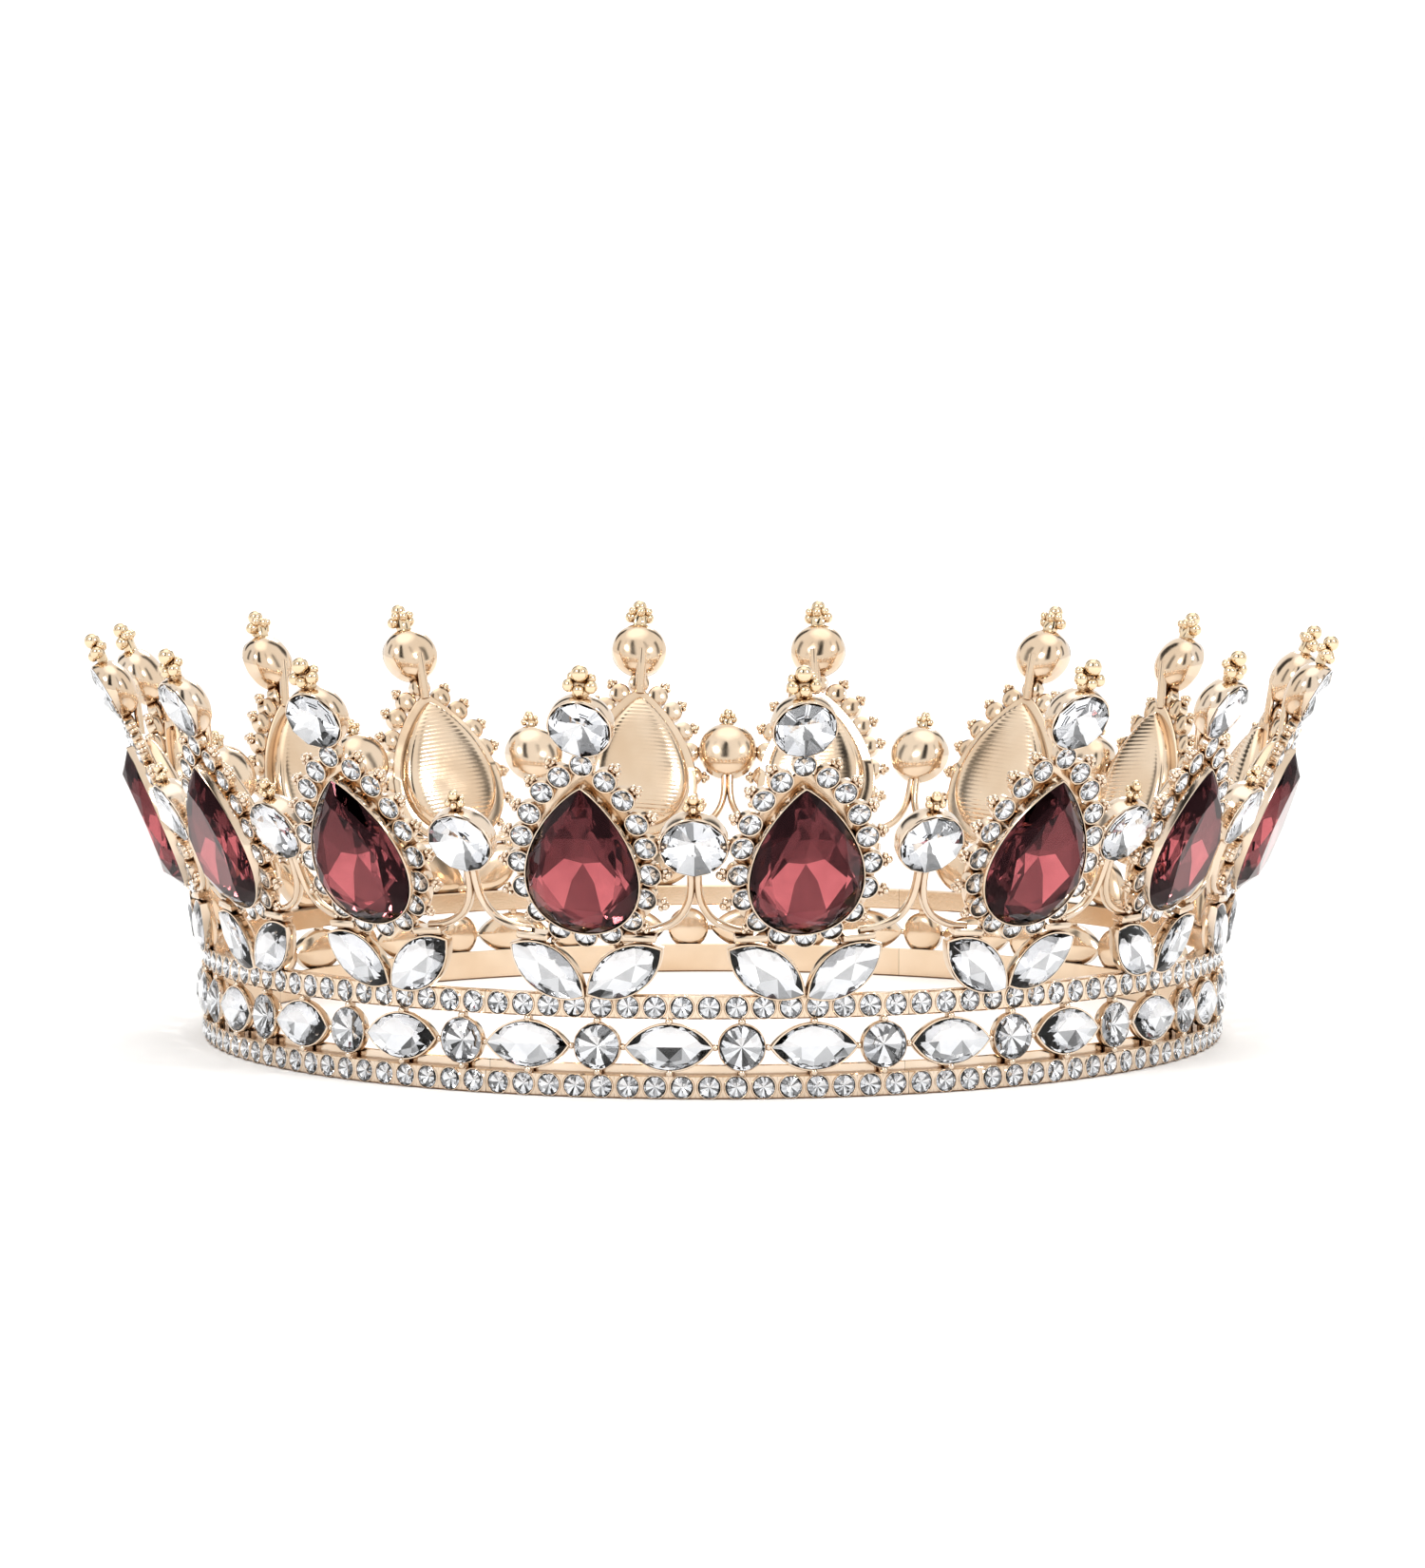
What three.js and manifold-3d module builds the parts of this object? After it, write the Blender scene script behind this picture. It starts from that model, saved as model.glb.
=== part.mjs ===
// A round dress crown: eight cast panels soldered end to end into a ring and set with glass stones.
// Millimetres, +Z up. The origin is the centre of the ring, on the surface that the crown stands on.
// The front panel faces -Y, and the panels are numbered anticlockwise as seen from above.
// Each panel stands upright in its band and leans outwards, as one piece, above it. It carries two
// columns, each with a pair of leaves, a pear stone in a halo and a round stone under a bead finial,
// and two lower finials: one between the columns and one over the joint with the next panel.
import * as THREE from "three";
import { mergeVertices } from "three/addons/utils/BufferGeometryUtils.js";
import Module from "manifold-3d";

const wasm = await Module();
wasm.setup();

// Driving dimensions
const PANELS = 8;
const RING_RADIUS = 77; // outer face of the band
const BAND_INNER_RADIUS = 75;
const STRIP_HEIGHT = 3.3;
const UPPER_STRIP_BOTTOM = 11.1;
const BACK_RIB = { depth: 0.6, height: 1.3 }; // along the lower rail, behind the row of stones
const OVERLAP = 0.2; // how far one piece of a casting runs into the next
const JOINT_GAP = 0.3; // solder line between neighbouring panels
const COLUMN = 15; // each column's distance from the middle of its panel
const LEAN_AT_BAND = 0.13; // outward slope just above the band
const LEAN_AT_TOP = 0.413; // outward slope from LEAN_BEND above the band to the tip
const LEAN_BEND = 17.6;
const WALL = 0.35; // metal round each stone
const SEAT_GAP = 0.3; // between a stone and its cup

// Heights above the ground
const STRIP_TOP = UPPER_STRIP_BOTTOM + STRIP_HEIGHT;
const ROW_HEIGHT = (STRIP_HEIGHT + UPPER_STRIP_BOTTOM) / 2;
const LEAF_HEIGHT = 17.7;
const BAR_HEIGHT = 22.6;
const PEAR_HEIGHT = 34.1;
const HALO_HEIGHT = 35.1;
const LOW_STONE_HEIGHT = 36.3;
const TOP_STONE_HEIGHT = 52.8;

// Stones
const PEAR = { halfWidth: 7.9, halfLength: 11 };
const TOP_STONE = { radius: 4.3 };
const LOW_STONE = { radius: 4.5 };
const MARQUISE = { halfWidth: 3.1, halfLength: 6 };
const ROW_ROUND = { radius: 3.2 };
const HALO = { halfWidth: 9.15, halfLength: 13.2, stones: 18, stoneRadius: 1.5 };
const LEAF = { across: 5.1, angle: THREE.MathUtils.degToRad(35) };
const STONE_TILT = THREE.MathUtils.degToRad(8); // the round stones face a little further down

const panelAngle = (2 * Math.PI) / PANELS;

// Outward offset of the leaning sheet at a height, and its slope there.
function lean(height) {
  const rise = Math.max(0, height - STRIP_TOP);
  if (rise < LEAN_BEND) {
    const growth = (LEAN_AT_TOP - LEAN_AT_BAND) / LEAN_BEND;
    return { offset: (LEAN_AT_BAND + (growth * rise) / 2) * rise, slope: LEAN_AT_BAND + growth * rise };
  }
  const bent = ((LEAN_AT_BAND + LEAN_AT_TOP) / 2) * LEAN_BEND;
  return { offset: bent + LEAN_AT_TOP * (rise - LEAN_BEND), slope: LEAN_AT_TOP };
}

// A feature's own frame on the panel: x to the right, y up the sheet and z out of it.
function onPanel(across, height, { out = 0, tilt = 0, turn = 0 } = {}) {
  const angle = Math.asin(across / RING_RADIUS);
  const { offset, slope } = height > STRIP_TOP ? lean(height) : { offset: 0, slope: 0 };
  const up = new THREE.Vector3(0, -slope, 1).normalize();
  const outward = new THREE.Vector3(Math.sin(angle), -Math.cos(angle), 0);
  outward.addScaledVector(up, -outward.dot(up)).normalize();
  const right = up.clone().cross(outward);
  const place = new THREE.Matrix4().makeBasis(right, up, outward);
  place.setPosition(across, -(RING_RADIUS * Math.cos(angle) + offset), height);
  place.multiply(new THREE.Matrix4().makeRotationX(tilt));
  place.multiply(new THREE.Matrix4().makeRotationZ(turn));
  return place.multiply(new THREE.Matrix4().makeTranslation(0, 0, out));
}

// Outlines, as points at an angle of 0 to 2 pi, with the angle 0 at the top.
const round = (radius) => (a) => [radius * Math.sin(a), radius * Math.cos(a)];
const marquise = (halfLength, halfWidth) => (a) => [
  halfLength * Math.sin(a),
  halfWidth * Math.cos(a) * Math.abs(Math.cos(a)),
];
// A teardrop with its tip up. The fullness is 0 for an ellipse, and more draws the sides in to the tip.
function teardrop(halfWidth, halfLength, fullness) {
  const raw = (a) => Math.sin(a) * Math.abs(Math.sin(a / 2)) ** fullness;
  let widest = 0;
  for (let a = 0; a < Math.PI; a += 0.02) widest = Math.max(widest, raw(a));
  return (a) => [(halfWidth / widest) * raw(a), halfLength * Math.cos(a)];
}
const PEAR_FULLNESS = 0.7;
const HALO_FULLNESS = 0.4;
const grownPear = (by) => teardrop(PEAR.halfWidth + by, PEAR.halfLength + by, PEAR_FULLNESS);
const grownMarquise = (by) => marquise(MARQUISE.halfLength + by, MARQUISE.halfWidth + by);

// A lathe whose section follows an outline. The profile holds [share of the outline, height] pairs.
function turned(profile, outline, sides) {
  const points = profile.map(([share, height]) => new THREE.Vector2(share, -height)).reverse();
  const geometry = new THREE.LatheGeometry(points, sides);
  const position = geometry.getAttribute("position");
  for (let i = 0; i < position.count; i++) {
    const share = Math.hypot(position.getX(i), position.getZ(i));
    const [x, y] = outline(Math.atan2(position.getX(i), position.getZ(i)));
    position.setXYZ(i, share * x, share * y, -position.getY(i));
  }
  return geometry;
}

// manifold-3d solids from three.js geometries, and back.
function solid(geometry, place = new THREE.Matrix4()) {
  const bare = geometry.index ? geometry.toNonIndexed() : geometry.clone();
  bare.deleteAttribute("normal");
  bare.deleteAttribute("uv");
  const merged = mergeVertices(bare.applyMatrix4(place), 1e-4);
  const made = new wasm.Manifold(
    new wasm.Mesh({
      numProp: 3,
      vertProperties: merged.attributes.position.array,
      triVerts: new Uint32Array(merged.index.array),
    }),
  );
  if (made.volume() <= 0) throw new Error("a piece of a panel is inside out");
  return made;
}

function geometryOf(made) {
  const mesh = made.getMesh();
  const geometry = new THREE.BufferGeometry();
  geometry.setAttribute("position", new THREE.BufferAttribute(mesh.vertProperties, 3));
  geometry.setIndex(new THREE.BufferAttribute(mesh.triVerts, 1));
  geometry.computeVertexNormals();
  return geometry;
}

const joined = (solids) => solids.reduce((all, next) => all.add(next));

// One rail of the band, or the rib behind it, from joint to joint in short flats.
const STRIP_FLATS = 3;
function strip(bottom, height = STRIP_HEIGHT, face = RING_RADIUS) {
  const half = panelAngle / 2 - JOINT_GAP / 2 / RING_RADIUS;
  const from = -Math.PI / 2 - half;
  const to = -Math.PI / 2 + half;
  const shape = new THREE.Shape();
  shape.absarc(0, 0, face, from, to, false);
  shape.absarc(0, 0, BAND_INNER_RADIUS, to, from, true);
  const options = { depth: height, bevelEnabled: false, curveSegments: STRIP_FLATS };
  return solid(new THREE.ExtrudeGeometry(shape, options).translate(0, 0, bottom));
}

// A small block in a feature's frame: its size, and where its middle is.
function block(width, height, depth, place) {
  return solid(new THREE.BoxGeometry(width, height, depth), place);
}

// The row between the rails: three marquise and three round stones by turns, each stone one body
// with its cup, which a tab above and below ties to the rails.
const ROW_BACK = -1.9; // the back of a cup, from the face of the band
const ROW_RIM = -0.5;
const ROW_PEAK = 1.9;
const TAB_REACH = 4.3;
const SMALL_SIDES = 8;
const rowPitch = (panelAngle - JOINT_GAP / RING_RADIUS) / 3;
const rowStart = -panelAngle / 2 + JOINT_GAP / 2 / RING_RADIUS;
const marquiseShare = (MARQUISE.halfLength + WALL) / RING_RADIUS;
const roundShare = (ROW_ROUND.radius + WALL) / RING_RADIUS;
const rowGap = (rowPitch - 2 * marquiseShare - 2 * roundShare) / 2;

const setStone = (outline, back, rim, peak) =>
  turned([[0, back], [1, back], [1, rim], [0, peak]], outline, SMALL_SIDES);

function tabbed(outline) {
  return (a) => {
    const [x, y] = outline(a);
    return Math.abs(x) < 0.1 ? [x, Math.sign(y) * TAB_REACH] : [x, y];
  };
}

function row() {
  const pieces = [];
  for (let pair = 0; pair < 3; pair++) {
    const long = rowStart + pair * rowPitch + rowGap / 2 + marquiseShare;
    const short = long + marquiseShare + rowGap + roundShare;
    for (const [angle, outline] of [[long, grownMarquise(WALL)], [short, round(ROW_ROUND.radius + WALL)]]) {
      const place = onPanel(RING_RADIUS * Math.sin(angle), ROW_HEIGHT);
      pieces.push(solid(setStone(tabbed(outline), ROW_BACK, ROW_RIM, ROW_PEAK), place));
    }
  }
  return pieces;
}

// A pair of leaf stones that spring from the upper rail under each column, and the bars over them.
function leaves(across) {
  const pieces = [];
  for (const side of [-1, 1]) {
    const place = onPanel(across + side * LEAF.across, LEAF_HEIGHT, { turn: side * LEAF.angle });
    pieces.push(solid(setStone(grownMarquise(WALL), -1.4, 0.9, 2.4), place));
    pieces.push(block(5.4, 2, 2.2, onPanel(across + side * 7.3, BAR_HEIGHT, { out: -0.2 })));
  }
  return pieces;
}

// The halo plate behind a pear: one scallop for each small stone, and a point on those near the top.
const HALO_BACK = -1.3;
const HALO_FACE = 0.6;
const POINTED_TO = 0.72 * Math.PI; // the lower scallops have no point, where the panel joins its neighbours
function haloShape() {
  const path = teardrop(HALO.halfWidth, HALO.halfLength, HALO_FULLNESS);
  const steps = 720;
  const lengths = [0];
  for (let i = 1; i <= steps; i++) {
    const [x0, y0] = path(((i - 1) / steps) * 2 * Math.PI);
    const [x1, y1] = path((i / steps) * 2 * Math.PI);
    lengths.push(lengths[i - 1] + Math.hypot(x1 - x0, y1 - y0));
  }
  const angleAt = (share) => {
    const wanted = ((share + 1) % 1) * lengths[steps];
    return (lengths.findIndex((l) => l >= wanted) / steps) * 2 * Math.PI;
  };
  const outline = [];
  for (let i = 0; i < HALO.stones; i++) {
    for (const [part, reach] of [[-0.5, 1], [0, 2]]) {
      const a = angleAt((i + part) / HALO.stones);
      const [x, y] = path(a);
      const [xa, ya] = path(a - 0.01);
      const [xb, yb] = path(a + 0.01);
      const normal = new THREE.Vector2(-(yb - ya), xb - xa).normalize();
      const fromTop = Math.min(a, 2 * Math.PI - a);
      const pointed = part === 0 && i > 0 && fromTop < POINTED_TO;
      outline.push(new THREE.Vector2(x, y).addScaledVector(normal, pointed ? 2.9 : reach));
    }
  }
  return new THREE.Shape(outline);
}

function halo(column) {
  const plate = new THREE.ExtrudeGeometry(haloShape(), { depth: HALO_FACE - HALO_BACK, bevelEnabled: false });
  return solid(plate.translate(0, 0, HALO_BACK), onPanel(column, HALO_HEIGHT));
}

// Cups with a domed back and an open seat that follows the stone.
const PEAR_SIDES = 10;
const PEAR_RIM = 1.9;
function pearCup(across) {
  const place = onPanel(across, PEAR_HEIGHT);
  const profile = [[0, -3.8], [0.85, -2.6], [1, -0.9], [1, PEAR_RIM], [0, PEAR_RIM]];
  const cup = solid(turned(profile, grownPear(WALL), PEAR_SIDES), place);
  const hollow = [[0, -2.2], [1, 1.3], [1, 3], [0, 3]];
  return { cup, seat: solid(turned(hollow, grownPear(0.1), PEAR_SIDES), place) };
}

const ROUND_SIDES = 8;
const ROUND_RIM = 1.6;
function roundCup(across, height, radius) {
  const place = onPanel(across, height, { tilt: STONE_TILT });
  const profile = [[0, -2.9], [1, -0.6], [1, ROUND_RIM], [0, ROUND_RIM]];
  const cup = solid(turned(profile, round(radius + WALL), ROUND_SIDES), place);
  const hollow = [[0, -1.9], [1, 1], [1, 3], [0, 3]];
  return { cup, seat: solid(turned(hollow, round(radius + 0.1), ROUND_SIDES), place) };
}

// Three beads over a neck, on top of a round cup, as one thick trefoil.
const TREFOIL = [[0.9, 0], [2.3, 2.2], [1.2, 3.9], [0, 5.3]];
const TOP_BEADS = 0.94;
const LOW_BEADS = 0.6;
function finial(across, height, radius, size) {
  const rightSide = TREFOIL.map(([x, y]) => new THREE.Vector2(x, y));
  const leftSide = TREFOIL.slice(0, -1).map(([x, y]) => new THREE.Vector2(-x, y));
  const outline = new THREE.Shape([...rightSide, ...leftSide.reverse()]);
  const plate = new THREE.ExtrudeGeometry(outline, { depth: 2.4, bevelEnabled: false });
  plate.translate(0, 0, -1.2).scale(size, size, size);
  return solid(plate, onPanel(across, height + radius - 0.4));
}

// A square wire bent through points given across and up the panel.
const WIRE = 1.3;
function wire(points) {
  const path = new THREE.CatmullRomCurve3(
    points.map(([across, height]) => new THREE.Vector3().setFromMatrixPosition(onPanel(across, height))),
  );
  const corners = [[-1, -1], [1, -1], [1, 1], [-1, 1]];
  const section = new THREE.Shape(corners.map(([x, y]) => new THREE.Vector2((x * WIRE) / 2, (y * WIRE) / 2)));
  return solid(new THREE.ExtrudeGeometry(section, { steps: 3, bevelEnabled: false, extrudePath: path }));
}

// A lower finial: a round stone on a stem that parts into two scrolls, down to the bars.
const SCROLL = 5.9;
const JOINT_SCROLL = 3.6; // the right scroll of the one over the joint ends short of the next panel
function lowFinial(rightReach) {
  const { cup, seat } = roundCup(0, LOW_STONE_HEIGHT, LOW_STONE.radius);
  const scroll = (reach) =>
    wire([
      [0, 32.6],
      [0.08 * reach, 28.6],
      [0.22 * reach, 26.2],
      [0.55 * reach, 24.2],
      [reach, 23.1],
    ]);
  const beads = finial(0, LOW_STONE_HEIGHT, LOW_STONE.radius, LOW_BEADS);
  return { metal: [cup, scroll(-SCROLL), scroll(rightReach), beads], seats: [seat] };
}

function column(across) {
  const pear = pearCup(across);
  const top = roundCup(across, TOP_STONE_HEIGHT, TOP_STONE.radius);
  const beads = finial(across, TOP_STONE_HEIGHT, TOP_STONE.radius, TOP_BEADS);
  return {
    metal: [halo(across), pear.cup, top.cup, beads, ...leaves(across)],
    seats: [pear.seat, top.seat],
  };
}

function panel() {
  const rib = strip(STRIP_HEIGHT - OVERLAP, BACK_RIB.height + OVERLAP, BAND_INNER_RADIUS + BACK_RIB.depth);
  const half = new THREE.Matrix4().makeRotationZ(panelAngle / 2);
  const overJoint = lowFinial(JOINT_SCROLL);
  const turnedToJoint = (pieces) => pieces.map((piece) => piece.transform(half.elements));
  const parts = [
    { metal: [strip(0), strip(UPPER_STRIP_BOTTOM), rib, ...row()], seats: [] },
    column(-COLUMN),
    column(COLUMN),
    lowFinial(SCROLL),
    { metal: turnedToJoint(overJoint.metal), seats: turnedToJoint(overJoint.seats) },
  ];
  const metal = joined(parts.flatMap((part) => part.metal));
  return geometryOf(metal.subtract(joined(parts.flatMap((part) => part.seats))).simplify(0.02));
}

// Stones: a point behind, a girdle, and bevels up to a flat table.
const pearStone = () =>
  turned([[0, -1.5], [1, 2], [0.64, 4.4], [0, 4.4]], grownPear(0.1 - SEAT_GAP), PEAR_SIDES);
const roundStone = (radius) =>
  turned([[0, -1.4], [1, 1.5], [0.5, 3.4], [0, 3.4]], round(radius + 0.1 - SEAT_GAP), ROUND_SIDES);

// Plating and glass
const gold = new THREE.MeshStandardMaterial({ color: 0xe9bd8c, metalness: 1, roughness: 0.22 });
const wine = new THREE.MeshStandardMaterial({ color: 0x6b1f2c, metalness: 0, roughness: 0.05 });
const crystal = new THREE.MeshStandardMaterial({ color: 0xeef1f4, metalness: 0, roughness: 0.03 });

function named(name, geometry, material, place) {
  const mesh = new THREE.Mesh(geometry, material);
  mesh.name = name;
  if (place) mesh.applyMatrix4(place);
  return mesh;
}

const crown = new THREE.Group();
const panelGeometry = panel();
const pearGeometry = pearStone();
const topGeometry = roundStone(TOP_STONE.radius);
const lowGeometry = roundStone(LOW_STONE.radius);

for (let n = 1; n <= PANELS; n++) {
  const group = new THREE.Group();
  group.rotation.z = (n - 1) * panelAngle;
  group.add(named(`panel_${n}`, panelGeometry, gold));
  for (const [letter, across] of [["a", -COLUMN], ["b", COLUMN]]) {
    const top = onPanel(across, TOP_STONE_HEIGHT, { tilt: STONE_TILT });
    group.add(named(`pear_stone_${n}${letter}`, pearGeometry, wine, onPanel(across, PEAR_HEIGHT)));
    group.add(named(`top_stone_${n}${letter}`, topGeometry, crystal, top));
  }
  for (const [letter, turn] of [["a", 0], ["b", panelAngle / 2]]) {
    const low = onPanel(0, LOW_STONE_HEIGHT, { tilt: STONE_TILT });
    low.premultiply(new THREE.Matrix4().makeRotationZ(turn));
    group.add(named(`low_stone_${n}${letter}`, lowGeometry, crystal, low));
  }
  crown.add(group);
}

export default crown;
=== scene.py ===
import math
import bmesh
import bpy
from mathutils import Matrix, Vector


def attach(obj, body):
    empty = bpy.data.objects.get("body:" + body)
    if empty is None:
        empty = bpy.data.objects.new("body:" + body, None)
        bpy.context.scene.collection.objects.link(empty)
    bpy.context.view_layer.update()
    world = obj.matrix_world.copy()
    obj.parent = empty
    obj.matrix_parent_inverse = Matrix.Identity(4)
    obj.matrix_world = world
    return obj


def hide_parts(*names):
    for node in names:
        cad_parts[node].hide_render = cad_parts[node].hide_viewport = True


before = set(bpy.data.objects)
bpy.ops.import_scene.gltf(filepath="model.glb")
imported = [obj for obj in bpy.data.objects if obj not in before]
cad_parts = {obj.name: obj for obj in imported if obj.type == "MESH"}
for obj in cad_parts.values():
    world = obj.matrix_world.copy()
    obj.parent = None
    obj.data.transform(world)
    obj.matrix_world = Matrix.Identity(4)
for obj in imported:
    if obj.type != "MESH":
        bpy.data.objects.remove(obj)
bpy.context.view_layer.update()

mm = 0.001
panelCount = 8
panelTurn = 2 * math.pi / panelCount

# the ring and the sheet that each panel leans out in, all in mm, as in the CAD
crownForm = {
    "ringRadius": 77.0,
    "railHeight": 3.3,
    "upperRail": 11.1,
    "column": 15.0,  # each column from the middle of its panel
    "leanAtBand": 0.13,
    "leanAtTop": 0.413,
    "leanBend": 17.6,
    "jointGap": 0.06,
}
railTop = crownForm["upperRail"] + crownForm["railHeight"]


def leanAt(height):
    rise = max(0.0, height - railTop)
    low, high, bend = crownForm["leanAtBand"], crownForm["leanAtTop"], crownForm["leanBend"]
    if height <= railTop:
        return 0.0, 0.0
    if rise < bend:
        growth = (high - low) / bend
        return (low + growth * rise / 2) * rise, low + growth * rise
    return (low + high) / 2 * bend + high * (rise - bend), high


def onPanel(across, height, out=0.0, tilt=0.0, turn=0.0):
    # x to the right, y up the sheet, z out of it
    radius = crownForm["ringRadius"]
    angle = math.asin(across / radius)
    offset, slope = leanAt(height)
    up = Vector((0, -slope, 1)).normalized()
    outward = Vector((math.sin(angle), -math.cos(angle), 0))
    outward = (outward - up * outward.dot(up)).normalized()
    right = up.cross(outward)
    place = Matrix((right, up, outward)).transposed().to_4x4()
    place.translation = (across, -(radius * math.cos(angle) + offset), height)
    place = place @ Matrix.Rotation(tilt, 4, "X") @ Matrix.Rotation(turn, 4, "Z")
    return place @ Matrix.Translation((0, 0, out))


def moved(x, y, z):
    return Matrix.Translation((x, y, z))


# outlines, from a = 0 at the top, clockwise as seen from outside

def roundLine(radius):
    return lambda a: (radius * math.sin(a), radius * math.cos(a))


def marquiseLine(halfLength, halfWidth):
    # two equal arcs that meet in points at both ends
    bow = (halfLength ** 2 - halfWidth ** 2) / (2 * halfWidth)
    radius = halfWidth + bow
    reach = math.asin(halfLength / radius)

    def line(a):
        side = 1 if math.cos(a) >= 0 else -1
        swing = reach * (2 / math.pi) * math.asin(max(-1, min(1, math.sin(a))))
        return radius * math.sin(swing), side * (radius * math.cos(swing) - bow)
    return line


def pearLine(halfWidth, halfLength, fullness):
    raw = lambda a: math.sin(a) * abs(math.sin(a / 2)) ** fullness
    widest = max(raw(i / 100) for i in range(315))
    return lambda a: (halfWidth / widest * raw(a), halfLength * math.cos(a))


# a growing list of corners and faces, made into one mesh at the end

def newShape():
    return {"corners": [], "faces": [], "slots": [], "tones": []}


def addTo(shape, place, corners, faces, slot=0):
    start = len(shape["corners"])
    shape["corners"] += [place @ Vector(c) for c in corners]
    shape["faces"] += [[start + i for i in face] for face in faces]
    shape["slots"] += [slot] * len(faces)
    shape["tones"] += [1.0] * len(faces)


def addRings(shape, place, rings, slot=0, loop=False):
    # rings of equal length, joined one to the next, and either capped or joined into a loop
    count = len(rings[0])
    corners = [c for ring in rings for c in ring]
    faces = []
    last = len(rings) if loop else len(rings) - 1
    for r in range(last):
        here, there = r * count, (r + 1) % len(rings) * count
        for i in range(count):
            j = (i + 1) % count
            faces.append([here + i, here + j, there + j, there + i])
    if not loop:
        faces.append(list(reversed(range(count))))
        faces.append([(len(rings) - 1) * count + i for i in range(count)])
    addTo(shape, place, corners, faces, slot)


def addTurned(shape, place, profile, outline, sides, slot=0, loop=False):
    # profile pairs are (share of the outline, height)
    angles = [-2 * math.pi * i / sides for i in range(sides)]
    rings = []
    for share, height in profile:
        ring = []
        for a in angles:
            x, y = outline(a % (2 * math.pi))
            ring.append((share * x, share * y, height))
        rings.append(ring)
    addRings(shape, place, rings, slot, loop=loop)


def addWall(shape, place, profile, outlineBy, sides, slot=0):
    # a closed band round an outline; profile pairs are (mm outside the outline, height)
    angles = [-2 * math.pi * i / sides for i in range(sides)]
    rings = []
    for grown, height in profile:
        line = outlineBy(grown)
        rings.append([(*line(a % (2 * math.pi)), height) for a in angles])
    addRings(shape, place, rings, slot, loop=True)


def addBall(shape, place, radius, stretch=(1, 1, 1), slot=0, segments=14, rings=9):
    corners = [(0, 0, radius * stretch[2])]
    for r in range(1, rings):
        polar = math.pi * r / rings
        for s in range(segments):
            a = 2 * math.pi * s / segments
            corners.append((
                radius * stretch[0] * math.sin(polar) * math.cos(a),
                radius * stretch[1] * math.sin(polar) * math.sin(a),
                radius * stretch[2] * math.cos(polar),
            ))
    corners.append((0, 0, -radius * stretch[2]))
    faces = []
    for s in range(segments):
        t = (s + 1) % segments
        faces.append([0, 1 + s, 1 + t])
        for r in range(rings - 2):
            a, b = 1 + r * segments, 1 + (r + 1) * segments
            faces.append([a + s, b + s, b + t, a + t])
        base = 1 + (rings - 2) * segments
        faces.append([base + t, base + s, len(corners) - 1])
    addTo(shape, place, corners, faces, slot)


def addBlock(shape, place, width, height, depth, soft=0.2, slot=0):
    # a bar with rounded long edges, its middle on the place's origin
    rings = []
    for z, inset in ((-depth / 2, soft), (-depth / 2 + soft, 0), (depth / 2 - soft, 0), (depth / 2, soft)):
        w, h = width / 2 - inset, height / 2 - inset
        c = soft * 0.6
        rings.append([
            (w - c, -h, z), (w, -h + c, z), (w, h - c, z), (w - c, h, z),
            (-w + c, h, z), (-w, h - c, z), (-w, -h + c, z), (-w + c, -h, z),
        ])
    addRings(shape, place, rings, slot)


def smoothPath(points, steps):
    # a Catmull-Rom line through points
    ends = [points[0] * 2 - points[1], *points, points[-1] * 2 - points[-2]]
    line = []
    for i in range(1, len(ends) - 2):
        p0, p1, p2, p3 = ends[i - 1:i + 3]
        for s in range(steps):
            t = s / steps
            line.append(0.5 * (
                2 * p1 + (p2 - p0) * t + (2 * p0 - 5 * p1 + 4 * p2 - p3) * t ** 2
                + (3 * p1 - p0 - 3 * p2 + p3) * t ** 3
            ))
    line.append(points[-1].copy())
    return line


def addWire(shape, points, thick, deep, facing, steps=8, sides=12, slot=0):
    # a bent wire, thick across and deep along its facing
    line = smoothPath(points, steps)
    rings = []
    for i, point in enumerate(line):
        along = (line[min(i + 1, len(line) - 1)] - line[max(i - 1, 0)]).normalized()
        side = along.cross(facing).normalized()
        front = side.cross(along).normalized()
        ring = []
        for s in range(sides):
            a = 2 * math.pi * s / sides
            ring.append(point + side * (thick / 2 * math.cos(a)) + front * (deep / 2 * math.sin(a)))
        rings.append(ring)
    addRings(shape, Matrix.Identity(4), rings, slot)


def meshOf(name, shape, finishes, flat=False, crease=38, inside=None):
    # inside is the slot for the side that faces the wearer
    mesh = bpy.data.meshes.new(name)
    work = bmesh.new()
    # painted reflection: each face carries a painted brightness for the stone foil, 1 where nothing is
    # painted
    tones = work.faces.layers.float.new("paintedFacetReflection")
    corners = [work.verts.new(c * mm) for c in shape["corners"]]
    for face, slot, tone in zip(shape["faces"], shape["slots"], shape["tones"]):
        made = work.faces.new([corners[i] for i in face])
        made.material_index = slot
        made.smooth = not flat
        made[tones] = tone
    bmesh.ops.recalc_face_normals(work, faces=work.faces)
    if inside is not None:
        for face in work.faces:
            middle = face.calc_center_median()
            away = Vector((middle.x, middle.y, 0)).normalized()
            if face.material_index == 0 and face.normal.dot(away) < -0.3:
                face.material_index = inside
    if not flat:
        for edge in work.edges:
            if len(edge.link_faces) == 2 and edge.calc_face_angle(0) > math.radians(crease):
                edge.smooth = False
    work.to_mesh(mesh)
    work.free()
    for finish in finishes:
        mesh.materials.append(finish)
    return mesh


# a cut stone is the hull of its rings of corners: glass in front of the girdle, foil behind it

def toneAt(tones, x, y):
    # how bright a foil facet is painted by where it sits, a painted reflection of the light and dark it
    # would mirror: x and y run from -1 to 1 across the stone
    ring = tones["inner"] if math.hypot(x, y) < tones["split"] else tones["outer"]
    share = (math.atan2(x, y) % (2 * math.pi)) / (2 * math.pi)
    return ring[int(share * len(ring) + tones["turn"]) % len(ring)]


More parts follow.
